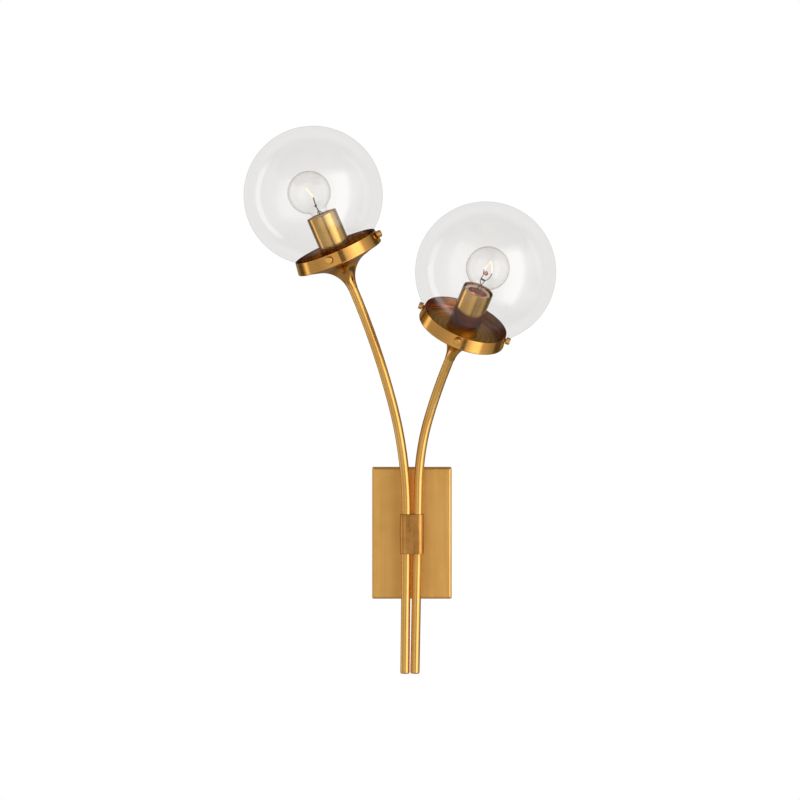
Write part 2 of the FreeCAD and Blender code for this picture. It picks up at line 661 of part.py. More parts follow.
def socket_cover():
    """A plain tube that stands on the holder's floor and hides the socket."""
    return tube(COVER_RADIUS, COVER_RADIUS - COVER_WALL,
                Vector(0, 0, HOLDER_FLOOR), Vector(0, 0, COVER_TOP))


def socket_bracket():
    """A steel strap under the nut with two legs that carry the socket."""
    half = BRACKET_WIDTH / 2
    inner = SOCKET_BODY_RADIUS
    outer = inner + BRACKET_THICKNESS
    base = Part.makeBox(2 * outer, BRACKET_BASE_WIDTH, BRACKET_THICKNESS,
                        Vector(-outer, -BRACKET_BASE_WIDTH / 2, HOLDER_FLOOR))
    bound = rod(COVER_RADIUS - COVER_WALL - BRACKET_COVER_GAP, Vector(0, 0, HOLDER_FLOOR),
                Vector(0, 0, BRACKET_LEG_TOP))
    legs = [Part.makeBox(BRACKET_THICKNESS, BRACKET_WIDTH, BRACKET_LEG_TOP - HOLDER_FLOOR,
                         Vector(x, -half, HOLDER_FLOOR)) for x in (-outer, inner)]
    bracket = base.fuse(legs).removeSplitter().common(bound)
    bore = PIPE_DIAMETER / 2 + THREAD_CLEARANCE
    return bracket.cut(rod(bore, Vector(0, 0, HOLDER_FLOOR - PAST), Vector(0, 0, BRACKET_TOP + PAST)))


def pan_nut():
    return hex_nut(BRACKET_TOP, NUT_THICKNESS)


def socket_body():
    """The porcelain socket: a body, a wider rim, a mouth and the bore of its screw shell."""
    rim_foot = SOCKET_TOP - SOCKET_RIM_HEIGHT
    edge = SOCKET_BEVEL
    return turned([(0, SOCKET_FOOT), (SOCKET_BODY_RADIUS, SOCKET_FOOT),
                   (SOCKET_BODY_RADIUS, rim_foot), (SOCKET_RIM_RADIUS, rim_foot),
                   (SOCKET_RIM_RADIUS, SOCKET_TOP - edge), (SOCKET_RIM_RADIUS - edge, SOCKET_TOP),
                   (SOCKET_MOUTH_RADIUS + edge, SOCKET_TOP), (SOCKET_MOUTH_RADIUS, SOCKET_TOP - edge),
                   (SOCKET_MOUTH_RADIUS, SHELL_TOP), (SHELL_RADIUS, SHELL_TOP),
                   (SHELL_RADIUS, CONTACT_FOOT), (0, CONTACT_FOOT)])


def screw_shell():
    """The copper shell that the lamp's cap screws into, with a rolled bead at its mouth."""
    inner = SHELL_RADIUS - SHELL_WALL
    bead = SHELL_RADIUS + SHELL_BEAD_WIDTH
    foot = CONTACT_FOOT + SHELL_ABOVE_FLOOR
    top = SHELL_TOP + SHELL_BEAD_HEIGHT
    return turned([(inner, foot), (SHELL_RADIUS, foot), (SHELL_RADIUS, SHELL_TOP), (bead, SHELL_TOP),
                   (bead, top), (inner, top)])


def socket_contact():
    """The springy tongue at the bottom of the socket, drawn as a stepped stud."""
    tip = LAMP_TIP - LAMP_TIP_GAP
    step = CONTACT_FOOT + CONTACT_BASE_HEIGHT
    return turned([(0, CONTACT_FOOT), (CONTACT_BASE_RADIUS, CONTACT_FOOT), (CONTACT_BASE_RADIUS, step),
                   (CONTACT_RADIUS, step), (CONTACT_RADIUS, tip - CONTACT_BEVEL),
                   (CONTACT_RADIUS - CONTACT_BEVEL, tip), (0, tip)])


def lamp_cap():
    """The lamp's threaded cap, a thin drawn cup with rolled threads."""
    root = LAMP_CAP_RADIUS - LAMP_CAP_WALL
    inner = root - LAMP_CAP_WALL
    shoulder = LAMP_CAP_FOOT + LAMP_CAP_SHOULDER_HEIGHT
    collar = LAMP_CAP_TOP - LAMP_CAP_COLLAR
    pitch = (collar - shoulder) / (LAMP_CAP_THREADS + 0.5)
    outline = [(root - LAMP_CAP_SHOULDER_WIDTH, LAMP_CAP_FOOT), (root, shoulder)]
    for index in range(LAMP_CAP_THREADS):
        low = shoulder + pitch * index
        outline += [(LAMP_CAP_RADIUS, low + pitch / 2), (root + LAMP_THREAD_ROOT, low + pitch)]
    outline += [(LAMP_CAP_RADIUS, collar), (LAMP_CAP_RADIUS, LAMP_CAP_TOP), (inner, LAMP_CAP_TOP),
                (inner, shoulder + LAMP_CAP_WALL / 2),
                (LAMP_CAP_END_BORE, LAMP_CAP_FOOT + LAMP_CAP_WALL), (LAMP_CAP_END_BORE, LAMP_CAP_FOOT)]
    return turned(outline)


def lamp_insulator():
    """The glass bead that keeps the tip apart from the cap."""
    top = LAMP_CAP_FOOT + LAMP_CAP_SHOULDER_HEIGHT
    return turned([(0, top), (LAMP_CAP_END_BORE, top), (LAMP_CAP_END_BORE, LAMP_CAP_FOOT),
                   (LAMP_BEAD_RADIUS, LAMP_BEAD_FOOT), (0, LAMP_BEAD_FOOT)])


def lamp_tip():
    return turned([(0, LAMP_BEAD_FOOT), (LAMP_BEAD_RADIUS, LAMP_BEAD_FOOT), (LAMP_TIP_RADIUS, LAMP_TIP),
                   (0, LAMP_TIP)])


def lean_lamp(arm, shape):
    """Tip the lamp's glass over a little on its cap, as a lamp of this kind often sits."""
    pivot = Vector(0, 0, LAMP_CAP_TOP)
    toward = polar(1, arm["lamp_lean_heading"])
    shape = shape.copy()
    shape.rotate(pivot, UP.cross(toward), arm["lamp_lean"])
    return shape


def lamp_foot(arm):
    """Where the lamp's glass starts, so that its low side just clears the cap when it leans."""
    drop = LAMP_NECK_FOOT_RADIUS * math.sin(math.radians(arm["lamp_lean"]))
    return LAMP_CAP_TOP + LAMP_FOOT_GAP + drop


def lamp_glass(arm):
    """The clear bulb: a neck that swells into a ball, open at the foot where the cap holds it."""
    wall = LAMP_GLASS_WALL
    foot = lamp_foot(arm)
    joint = LAMP_HEIGHT - math.sqrt(LAMP_RADIUS ** 2 - LAMP_NECK_RADIUS ** 2)
    inner_ball = LAMP_RADIUS - wall
    inner_neck = LAMP_NECK_RADIUS - wall
    inner_joint = LAMP_HEIGHT - math.sqrt(inner_ball ** 2 - inner_neck ** 2)
    half_rise = (joint + foot) / 2
    swell = (LAMP_NECK_RADIUS + LAMP_NECK_FOOT_RADIUS) / 2 - LAMP_NECK_WAIST
    return turned([(0, LAMP_HEIGHT + LAMP_RADIUS), (0, LAMP_HEIGHT + inner_ball),
                   ((inner_ball, LAMP_HEIGHT), (inner_neck, inner_joint)),
                   (swell - wall, half_rise), (LAMP_NECK_FOOT_RADIUS - wall, foot),
                   (LAMP_NECK_FOOT_RADIUS, foot), (swell, half_rise), (LAMP_NECK_RADIUS, joint),
                   ((LAMP_RADIUS, LAMP_HEIGHT), (0, LAMP_HEIGHT + LAMP_RADIUS))])


def lamp_stem(arm):
    """The glass mount inside the lamp, with a pinched top that grips the leads."""
    foot = lamp_foot(arm)
    top = LAMP_HEIGHT - STEM_TOP_BELOW_CENTRE
    flare = LAMP_NECK_FOOT_RADIUS - LAMP_GLASS_WALL - STEM_GAP
    return turned([(0, foot), (flare, foot), (flare, foot + STEM_FLARE_HEIGHT),
                   (STEM_RADIUS, foot + STEM_CONE_HEIGHT), (STEM_RADIUS, top - STEM_PINCH_HEIGHT),
                   (STEM_PINCH_RADIUS, top), (0, top)])


def filament(arm):
    """A hairpin of coiled wire between the two leads."""
    half = FILAMENT_HALF_WIDTH
    foot = LAMP_HEIGHT - FILAMENT_FOOT_BELOW_CENTRE
    bend = LAMP_HEIGHT - FILAMENT_BEND_BELOW_CENTRE
    points = [Vector(-half, 0, foot), Vector(-half, 0, bend),
              Vector(0, 0, LAMP_HEIGHT + FILAMENT_ABOVE_CENTRE),
              Vector(half, 0, bend), Vector(half, 0, foot)]
    return bent_wire(points, FILAMENT_DIAMETER / 2, arm)


def lead_wires(arm):
    """Two stiff leads from the stem to the feet of the filament."""
    start = LAMP_HEIGHT - STEM_TOP_BELOW_CENTRE
    bend = LAMP_HEIGHT - LEAD_BEND_BELOW_CENTRE
    foot = LAMP_HEIGHT - FILAMENT_FOOT_BELOW_CENTRE
    wires = []
    for side in (-1, 1):
        points = [Vector(side * LEAD_HALF_SPACING, 0, start),
                  Vector(side * LEAD_HALF_SPACING, 0, bend),
                  Vector(side * FILAMENT_HALF_WIDTH, 0, foot - LEAD_END_LENGTH),
                  Vector(side * FILAMENT_HALF_WIDTH, 0, foot)]
        wires.append(bent_wire(points, LEAD_DIAMETER / 2, arm))
    return Part.makeCompound(wires)


def bent_wire(points, radius, arm):
    """Straight bars from point to point with a ball at each bend, as one solid."""
    bars = [rod(radius, a, b) for a, b in zip(points, points[1:])]
    balls = [Part.makeSphere(radius, point) for point in points[1:-1]]
    wire = bars[0].fuse(bars[1:] + balls)
    wire.rotate(Vector(0, 0, 0), UP, arm["filament_turn"])
    return wire


def build_head(side, arm):
    """Write every piece of one head, from the bell to the glass."""
    place = head_placement(arm).toMatrix()
    angles = screw_angles(arm)
    pieces = {
        "bell": bell(),
        "arm_coupling": coupling(),
        "shade_holder": holder().cut([screw_hole(angle) for angle in angles]),
        "socket_bracket": socket_bracket(),
        "holder_nut": pan_nut(),
        "socket_cover": socket_cover(),
        "socket_body": socket_body(),
        "socket_shell": screw_shell(),
        "socket_contact": socket_contact(),
        "lamp_cap": lamp_cap(),
        "lamp_insulator": lamp_insulator(),
        "lamp_tip": lamp_tip(),
        "lamp_glass": lean_lamp(arm, lamp_glass(arm)),
        "lamp_stem": lean_lamp(arm, lamp_stem(arm)),
        "lamp_filament": lean_lamp(arm, filament(arm)),
        "lamp_leads": lean_lamp(arm, lead_wires(arm)),
        "globe": globe(),
        "globe_neck": globe_neck(),
    }
    for index, angle in enumerate(angles):
        pieces["thumb_screw_%d" % (index + 1)] = thumb_screw(angle)
    for name, shape in pieces.items():
        save(side + "_" + name, shape.transformed(place))


def show(label, vector):
    print("%-24s %9.6f %9.6f %9.6f" % (label, vector.x, vector.y, vector.z))


def report_axes(side, arm):
    """Print the head's frame and the direction that each screw backs out."""
    place = head_placement(arm)
    show(side + " rim", place.Base)
    show(side + " axis", place.Rotation.multVec(UP))
    for index, angle in enumerate(screw_angles(arm)):
        show("%s screw %d" % (side, index + 1), place.Rotation.multVec(polar(1, angle)))
    print("%-24s %9.3f" % ("globe lift", GLOBE_LIFT))
    print("%-24s %9.3f" % ("lamp lift", LAMP_LIFT))
    print("%-24s %9.3f" % ("screw lift", SCREW_LIFT))


save("backplate", backplate())
save("crossbar", crossbar())
save("crossbar_set_screws", set_screws())
save("ground_screw", ground_screw())
save("tube_band", band())
save("band_pipe", pipe())
save("band_spacer", spacer())
save("lock_washer", lock_washer())
save("pipe_nut", pipe_nut())
for side, arm in ARMS.items():
    save(side + "_arm_tube", arm_tube(arm))
    save(side + "_end_plug", end_plug(arm))
    build_head(side, arm)
    report_axes(side, arm)
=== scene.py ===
import json
import math

import bmesh
import bpy
from mathutils import Matrix, Vector


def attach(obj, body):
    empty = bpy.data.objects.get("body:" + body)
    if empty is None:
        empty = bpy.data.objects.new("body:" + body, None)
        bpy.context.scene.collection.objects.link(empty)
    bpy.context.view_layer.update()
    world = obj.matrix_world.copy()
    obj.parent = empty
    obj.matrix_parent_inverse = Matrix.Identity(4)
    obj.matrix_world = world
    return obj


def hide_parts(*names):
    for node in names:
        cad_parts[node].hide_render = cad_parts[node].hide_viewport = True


# Looks of the double arm wall sconce. Metres; X to the right, Y into the wall, Z up.
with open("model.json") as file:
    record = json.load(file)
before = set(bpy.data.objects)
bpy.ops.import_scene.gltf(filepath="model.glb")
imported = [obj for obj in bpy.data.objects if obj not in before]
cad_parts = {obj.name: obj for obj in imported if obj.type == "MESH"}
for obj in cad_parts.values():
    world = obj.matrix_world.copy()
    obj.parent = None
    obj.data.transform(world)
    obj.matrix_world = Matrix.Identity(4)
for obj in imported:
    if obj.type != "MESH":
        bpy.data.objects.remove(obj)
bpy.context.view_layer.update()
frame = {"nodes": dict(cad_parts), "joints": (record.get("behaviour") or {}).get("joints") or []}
NODES = frame["nodes"]

MM = 0.001
SIDES = ("left", "right")

# Camera, straight at the wall from the photograph's distance
CAMERA_PLACE = Vector((-0.01235, -3.0, 0.1381))
CAMERA_REACH = 50.0
FOCAL_PIXELS = 2869.0
FRAME_PIXELS = 800.0
SENSOR_MM = 36.0

# How many faces of clear glass a ray may pass before it goes black
CLEAR_WALLS = 32

# Floor, far below the sconce
FLOOR_SIZE = 1.2
FLOOR_HEIGHT = -0.6
FLOOR_TONE = (0.8, 0.8, 0.8, 1)
FLOOR_GLOW = 0.6

# The studio that metal mirrors, as (angle, light). The angle is in degrees, 0 towards the room
# and 90 to the right. STUDIO_ENDS is the share of quiet light that takes over towards the top, a
# direction's height of 1, and towards the bottom, -1.
STUDIO_ROUND = [
    (-180, 0.2), (-166, 0.3), (-150, 0.5), (-138, 0.15), (-122, 0.15), (-116, 0.45), (-112, 0.6),
    (-109, 1.5), (-98, 1.5), (-95, 0.6), (-62, 0.55), (-50, 0.6), (-24, 0.85), (-2, 0.85),
    (2, 0.2), (11, 0.2), (15, 0.95), (24, 1.3), (42, 2.3), (60, 2.3), (70, 0.9), (96, 0.6),
    (112, 0.4), (118, 0.12), (136, 0.12), (150, 0.4), (166, 0.25), (180, 0.2)]
STUDIO_ENDS = [(-1.0, 1), (-0.85, 1), (-0.7, 0), (0.45, 0), (0.65, 1), (1.0, 1)]
QUIET = 0.3

# Glass globe, as its node has it. Heights run along a head's axis from the holder's rim.
GLOBE_RADIUS = 70.4 * MM
GLOBE_WALL = 2.2 * MM
GLOBE_MIDDLE = 56.3 * MM
GLOBE_NECK_RADIUS = 41.0 * MM
GLOBE_FOOT = -11.9 * MM
GLOBE_SECTORS = 192
GLOBE_STEPS = 96
LIP_STEPS = 4

# Height of a socket cover's top over the holder's rim
COVER_TOP = 35.2 * MM

# Inside of the shade holder's ring, and how far the painted shade of its hollow takes to fade out
HOLDER_INSIDE = 42.5 * MM
CUP_FADE = 0.4 * MM

# Copper shell of a socket, as (radius, height over the rim) in millimetres: the shell itself and
# the wider collar that lines the socket's mouth, with round threads inside
SHELL = [(6.1, 5.6), (6.6, 5.6), (6.6, 25.75)]
COLLAR = [(9.9, 25.8), (10.1, 26.0), (10.1, 32.6), (9.9, 32.7)]
COLLAR_STEP = (6.1, 26.2)
SHELL_SECTORS = 96
THREAD_RADIUS = 9.85
THREAD_DEPTH = 0.12
THREAD_FOOT = 26.6
THREAD_LENGTH = 5.8
THREAD_QUARTERS = 14

# Lamp. Its wires are given in millimetres from the middle of the ball: towards the room,
# across and along the lamp. The left hairpin is seen from its edge, the right one from its face.
LAMP_RADIUS = 22.0 * MM
LAMP_WIRES = {
    "left": {
        "filament": [(-4.2, 1.8, -6.2), (-2.0, 0.5, -0.4), (0, -0.7, 4.4), (2.0, 0.5, -0.4),
                     (4.2, 1.8, -6.2)],
        "leads": [
            [(-4.2, 1.8, -5.8), (-2.4, 0.6, -10.6), (-0.9, 0.3, -15.1), (-1.2, 0.1, -19.5),
             (-1.0, 0, -25.5)],
            [(4.2, 1.8, -5.8), (2.4, 1.0, -10.6), (0.9, 0.3, -15.1), (1.3, 0.4, -19.5),
             (1.0, 0.2, -25.5)],
            [(0, -1.9, -22.6), (0, 0.8, -21.2), (0, 2.4, -23.8)]],
        "bead": [(0, 1.3, -14.6), (0, -1.2, -15.8)],
    },
    "right": {
        "filament": [(0, -3.0, -2.6), (0.3, -1.4, 2.4), (0, 0.3, 8.0), (-0.3, 3.4, 2.6),
                     (0, 5.6, -3.2)],
        "leads": [
            [(0, -3.0, -2.4), (0, -2.4, -5.6), (0, -1.6, -8.4), (0, -2.1, -13.1),
             (0, -1.5, -17.0), (0, 1.7, -20.6), (0, 2.2, -25.5)],
            [(0, 5.6, -3.0), (0, 6.0, -5.8), (0, 4.8, -10.2), (0, 2.4, -13.8),
             (0.6, 1.2, -17.0), (0.8, -0.6, -20.6), (0.6, -1.4, -25.5)]],
        "bead": [(0, -2.6, -13.2), (0, 3.0, -13.7)],
        "disc": (0.6, 0.3, -5.6),
    },
}
COIL_RADIUS = 0.34 * MM
COIL_PITCH = 0.45 * MM
COIL_STEPS = 9
COIL_WIRE = 0.13 * MM
COIL_SIDES = 5
LEAD_WIRE = 0.38 * MM
LEAD_SIDES = 6
LINE_STEPS = 6
BEAD_STOPS = (0, 0.15, 0.5, 0.85, 1)
BEAD_RADII = (0.7 * MM, 0.95 * MM, 0.95 * MM, 0.7 * MM)
BEAD_SIDES = 10
DISC_HALF = Vector((0.2, 0.1, 0.08)) * MM
DISC_RADIUS = 2.2 * MM
DISC_SIDES = 20

# Points nearer than this to an axis stand on it
ON_AXIS = 1e-6

# Colours of the metal, as linear red, green and blue
BRASS = (0.81, 0.45, 0.125)
BRASS_LIGHT = (0.88, 0.54, 0.18)
BRASS_DARK = (0.58, 0.28, 0.06)
PATINA = (0.28, 0.13, 0.03)

# Tint of what the metal mirrors at its outlines
GRAZING = (0.90, 0.68, 0.48, 1)

# Tones that multiply the brass: brush marks, from deep to shallow, as wear; painted shade, in
# rings, inside a spun hollow; and painted shade in corners, from closed to open
RUBBED = [(0.3, (0.86, 0.82, 0.76)), (0.6, (1.0, 1.0, 1.0))]
CUP_SHADE_RINGS = [(0.0, (0.66, 0.80, 1.0)), (1.0, (0.90, 1.08, 1.35))]
CORNER_SHADE = [(0.1, (0.22, 0.18, 0.14)), (0.55, (0.78, 0.66, 0.48)), (0.95, (1, 1, 1))]
CLOUDINESS = 0.3
FLECK_SCALE = 260.0
FLECK_SPAN = (0.56, 0.74)
RING_SCALE = 60.0
RING_WARP = 1.5
MARK_DEPTH = 0.05 * MM
CUP_DULLNESS = 0.32
CORNER_SAMPLES = 8

# Tones of the pieces that differ from that brass, and the brush marks of spinning
BAND = {"base": (0.58, 0.27, 0.07), "light": (0.80, 0.44, 0.14), "dark": (0.24, 0.10, 0.02)}
ARM = {"base": (0.75, 0.42, 0.115)}
SPUN = {"base": (0.70, 0.365, 0.095), "light": (0.78, 0.45, 0.14), "dark": (0.48, 0.21, 0.04)}
COVER = {"base": (0.80, 0.47, 0.13), "light": (0.88, 0.55, 0.18), "dark": (0.60, 0.31, 0.07)}
TURNED = (2400, 2400, 1)

# Grain of the plain finishes, and of the hot wire
GRAIN_SCALE = 300.0
HEAT_SCALE = 500.0

# Glass: what it passes and what it mirrors, from face on, 0, to its outline, 1
GLOBE_TINT = [(0, (0.935, 0.928, 0.92)), (0.5, (0.92, 0.913, 0.908)),
              (0.88, (0.905, 0.897, 0.892)), (1, (0.66, 0.64, 0.63))]
GLOBE_MIRROR = [(0, 0.06), (0.25, 0.09), (0.4, 0.11), (0.52, 0.03), (0.93, 0.03), (1, 0.3)]
INNER_TINT = [(0, (1, 1, 1)), (1, (0.99, 0.99, 0.99))]
INNER_MIRROR = [(0, 0.02), (0.3, 0.03), (0.5, 0.0), (1, 0.0)]
LAMP_TINT = [(0, (1, 1, 0.998)), (0.5, (0.993, 0.991, 0.988)), (0.72, (0.95, 0.94, 0.93)),
             (1, (0.72, 0.68, 0.65))]
LAMP_MIRROR = [(0, 0.02), (0.25, 0.05), (0.5, 0.06), (0.7, 0.01), (1, 0.05)]
STEM_TINT = [(0, (0.97, 0.96, 0.95)), (0.6, (0.93, 0.9, 0.87)), (1, (0.6, 0.52, 0.46))]
STEM_MIRROR = [(0, 0.03), (0.5, 0.1), (1, 0.3)]
GLASS_GLOSS = 0.04
GLASS_WAVES = 18.0
WAVE_STRENGTH = 0.1
WAVE_HEIGHT = 1.0 * MM
MIRROR_FROM_WITHIN = 0.35


def mesh_object(name, body, stands_for):
    """An empty mesh object that rides on a body and stands for CAD nodes."""
    piece = bpy.data.objects.new(name, bpy.data.meshes.new(name))
    bpy.context.scene.collection.objects.link(piece)
    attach(piece, body)
    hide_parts(*stands_for)
    return piece


def fill_mesh(piece, mesh, *materials):
    """Smooth a mesh, give it to its piece and free it."""
    bmesh.ops.recalc_face_normals(mesh, faces=mesh.faces)
    for face in mesh.faces:
        face.smooth = True
    mesh.to_mesh(piece.data)
    mesh.free()
    for material in materials:
        piece.data.materials.append(material)


def arc_points(centre, start, end, count):
    """Points of an arc round centre from start to end, the short way, ends included."""
    a = math.atan2(start[1] - centre[1], start[0] - centre[0])
    b = math.atan2(end[1] - centre[1], end[0] - centre[0])
    radius = math.hypot(start[0] - centre[0], start[1] - centre[1])
    turn = (b - a + math.pi) % (2 * math.pi) - math.pi
    return [(centre[0] + radius * math.cos(a + turn * i / count),
             centre[1] + radius * math.sin(a + turn * i / count)) for i in range(count + 1)]


def turn_profile(profile, place, sectors):
    """A mesh of the closed profile of (radius, height) points turned about place's Z axis."""
    mesh = bmesh.new()
    turns = [2 * math.pi * i / sectors for i in range(sectors)]
    rings = []
    for radius, height in profile:
        if radius < ON_AXIS:
            rings.append([mesh.verts.new(place @ Vector((0, 0, height)))])
        else:
            rings.append([mesh.verts.new(place @ Vector((radius * math.cos(turn),
                                                         radius * math.sin(turn), height)))
                          for turn in turns])
    pairs = list(zip(rings, rings[1:]))
    if profile[0][0] > ON_AXIS:
        pairs.append((rings[-1], rings[0]))
    for lower, upper in pairs:
        for i in range(sectors):
            j = (i + 1) % sectors
            corners = [lower[i % len(lower)], lower[j % len(lower)],
                       upper[j % len(upper)], upper[i % len(upper)]]
            distinct = list(dict.fromkeys(corners))
            if len(distinct) > 2:
                mesh.faces.new(distinct)
    return mesh


def upright(axis):
    """The direction square to an axis that looks most towards the room, and the one across it."""
    room = Vector((0, -1, 0))
    front = (room - axis * room.dot(axis)).normalized()
    return front, axis.cross(front)


def frame_matrix(front, across, axis, origin):
    place = Matrix((front, across, axis)).transposed().to_4x4()
    place.translation = origin
    return place


def joint_axis(name):
    joint = next(j for j in frame["joints"] if j["name"] == name)
    return Vector(joint["axis"]).normalized()


def node_points(name):
    return [v.co for v in NODES[name].data.vertices]


def middle_of(points, direction):
    """The middle of the points' reach along a direction."""
    reach = [p.dot(direction) for p in points]
    return (max(reach) + min(reach)) / 2


def head_frame(side):
    """A head's matrix: origin in the middle of the holder's rim, Z along the axis of the glass,
    X towards the room. The axis is the joint's, and the place comes from the socket cover."""
    axis = joint_axis(side + "_globe_lift")
    front, across = upright(axis)
    points = node_points(side + "_socket_cover")
    top = max(p.dot(axis) for p in points)
    rim = (front * middle_of(points, front) + across * middle_of(points, across)
           + axis * (top - COVER_TOP))
    return frame_matrix(front, across, axis, rim)


def lamp_frame(side):
    """A lamp's matrix: origin in the middle of its ball, Z along the lamp, X towards the room."""
    along = joint_axis(side + "_lamp_pull")
    front, across = upright(along)
    points = node_points(side + "_lamp_glass")
    top = max(p.dot(along) for p in points)
    centre = (front * middle_of(points, front) + across * middle_of(points, across)
              + along * (top - LAMP_RADIUS))
    tip = node_points(side + "_lamp_tip")
    own = (centre - sum(tip, Vector()) / len(tip)).normalized()
    return frame_matrix(*upright(own), own, centre)


def neck_points(radius, start, end):
    """Points between the two ends of the neck, which stay out."""
    return [(radius, start + (end - start) * t) for t in (0.25, 0.5, 0.75)]


def globe(side, head, outside, inside):
    """The blown globe with an open neck and a soft lip. Its inner wall has a finish of its own."""
    inner = GLOBE_RADIUS - GLOBE_WALL
    neck_inner = GLOBE_NECK_RADIUS - GLOBE_WALL
    shoulder = GLOBE_MIDDLE - math.sqrt(GLOBE_RADIUS ** 2 - GLOBE_NECK_RADIUS ** 2)
    inner_shoulder = GLOBE_MIDDLE - math.sqrt(inner ** 2 - neck_inner ** 2)
    centre = (0.0, GLOBE_MIDDLE)
    lip = GLOBE_WALL / 2
    lip_top = GLOBE_FOOT + lip
    lip_centre = (GLOBE_NECK_RADIUS - lip, lip_top)
    lip_foot = (GLOBE_NECK_RADIUS - lip, GLOBE_FOOT)
    profile = arc_points(centre, (0, GLOBE_MIDDLE + GLOBE_RADIUS), (GLOBE_NECK_RADIUS, shoulder),
                         GLOBE_STEPS)
    profile += neck_points(GLOBE_NECK_RADIUS, shoulder, lip_top)
    profile += arc_points(lip_centre, (GLOBE_NECK_RADIUS, lip_top), lip_foot, LIP_STEPS)
    profile += arc_points(lip_centre, lip_foot, (neck_inner, lip_top), LIP_STEPS)[1:]
    profile += neck_points(neck_inner, inner_shoulder, lip_top)[::-1]
    profile += arc_points(centre, (neck_inner, inner_shoulder), (0, GLOBE_MIDDLE + inner),
                          GLOBE_STEPS)
    stands_for = [side + "_globe", side + "_globe_neck"]
    piece = mesh_object(side + "_globe_glass", side + "_globe", stands_for)
    fill_mesh(piece, turn_profile(profile, head, GLOBE_SECTORS), outside, inside)
    middle = head @ Vector((0, 0, GLOBE_MIDDLE))
    axis = head.to_3x3().col[2]
    for face in piece.data.polygons:
        from_middle = face.center - middle
        from_axis = from_middle - axis * from_middle.dot(axis)
        looks_in = min(from_middle.dot(face.normal), from_axis.dot(face.normal)) < 0
        face.material_index = 1 if looks_in else 0


def screw_shell(side, head, material):
    """The copper shell, whose threaded collar lines the socket's mouth."""
    threads = [(THREAD_RADIUS + THREAD_DEPTH * math.cos(math.pi * i / 2),
                THREAD_FOOT + THREAD_LENGTH * i / THREAD_QUARTERS)
               for i in range(THREAD_QUARTERS + 1)]
    profile = SHELL + COLLAR + threads[::-1] + [COLLAR_STEP]
    piece = mesh_object(side + "_shell", "root", [side + "_socket_shell"])
    mesh = turn_profile([(r * MM, h * MM) for r, h in profile], head, SHELL_SECTORS)
    fill_mesh(piece, mesh, material)


def sweep(mesh, points, radius, sides):
    """A round wire along a line of points, closed at both ends."""
    rings = []
    normal = None
    turns = [2 * math.pi * k / sides for k in range(sides)]
    for index, point in enumerate(points):
        before = points[max(index - 1, 0)]
        after = points[min(index + 1, len(points) - 1)]
        ahead = (after - before).normalized()
        if normal is None:
            normal = ahead.orthogonal()
        normal = (normal - ahead * normal.dot(ahead)).normalized()
        side = ahead.cross(normal)
        rings.append([mesh.verts.new(point + (normal * math.cos(t) + side * math.sin(t)) * radius)
                      for t in turns])
    for lower, upper in zip(rings, rings[1:]):
        for k in range(sides):
            n = (k + 1) % sides
            mesh.faces.new((lower[k], lower[n], upper[n], upper[k]))
    mesh.faces.new(rings[0][::-1])
    mesh.faces.new(rings[-1])


def smooth_line(points):
    """The points with rounded turns between them."""
    line = [points[0]]
    for index in range(len(points) - 1):
        before = points[max(index - 1, 0)]
        start = points[index]
        end = points[index + 1]
        after = points[min(index + 2, len(points) - 1)]
        for step in range(1, LINE_STEPS + 1):
            t = step / LINE_STEPS
            line.append(0.5 * (2 * start + (end - before) * t
                               + (2 * before - 5 * start + 4 * end - after) * t ** 2
                               + (3 * start - before - 3 * end + after) * t ** 3))
    return line


def coil_line(path):
    """A fine coil wound round a path."""
    total = 0.0
    line = []
    normal = None
    for start, end in zip(path, path[1:]):
        ahead = (end - start).normalized()
        normal = ahead.orthogonal() if normal is None else normal
        normal = (normal - ahead * normal.dot(ahead)).normalized()
        side = ahead.cross(normal)
        length = (end - start).length
        count = max(2, round(length / COIL_PITCH * COIL_STEPS))
        for step in range(count):
            turn = 2 * math.pi * (total + length * step / count) / COIL_PITCH
            line.append(start + ahead * (length * step / count)
                        + (normal * math.cos(turn) + side * math.sin(turn)) * COIL_RADIUS)
        total += length
    return line


def lamp_wires(side, place, hot, cold, disc):
    """The coiled filament, a hairpin with spread feet, its leads, the bead that joins them and,
    in the right lamp, a small disc."""
    wires = LAMP_WIRES[side]

    def at(points):
        return [Vector(p) * MM for p in points]

    coil = mesh_object(side + "_coil", side + "_lamp", [side + "_lamp_filament"])
    mesh = bmesh.new()
    sweep(mesh, coil_line(smooth_line(at(wires["filament"]))), COIL_WIRE, COIL_SIDES)
    mesh.transform(place)
    fill_mesh(coil, mesh, hot)
    leads = mesh_object(side + "_wires", side + "_lamp", [side + "_lamp_leads"])
    mesh = bmesh.new()
    for points in wires["leads"]:
        sweep(mesh, smooth_line(at(points)), LEAD_WIRE, LEAD_SIDES)
    start, end = at(wires["bead"])
    steps = [start.lerp(end, t) for t in BEAD_STOPS]
    for first, last, radius in zip(steps, steps[1:], BEAD_RADII):
        sweep(mesh, [first, last], radius, BEAD_SIDES)
    if "disc" in wires:
        middle, = at([wires["disc"]])
        count = len(mesh.faces)
        sweep(mesh, [middle - DISC_HALF, middle + DISC_HALF], DISC_RADIUS, DISC_SIDES)
        for face in list(mesh.faces)[count:]:
            face.material_index = 1
    mesh.transform(place)
    fill_mesh(leads, mesh, cold, disc)


def node_material(name):
    """A material with nothing but its output, its nodes and its links."""
    material = bpy.data.materials.new(name)
    material.use_nodes = True
    nodes = material.node_tree.nodes
    for node in list(nodes):
        if node.type != "OUTPUT_MATERIAL":
            nodes.remove(node)
    return material, nodes, material.node_tree.links


def object_place(nodes):
    return nodes.new("ShaderNodeTexCoord").outputs["Object"]


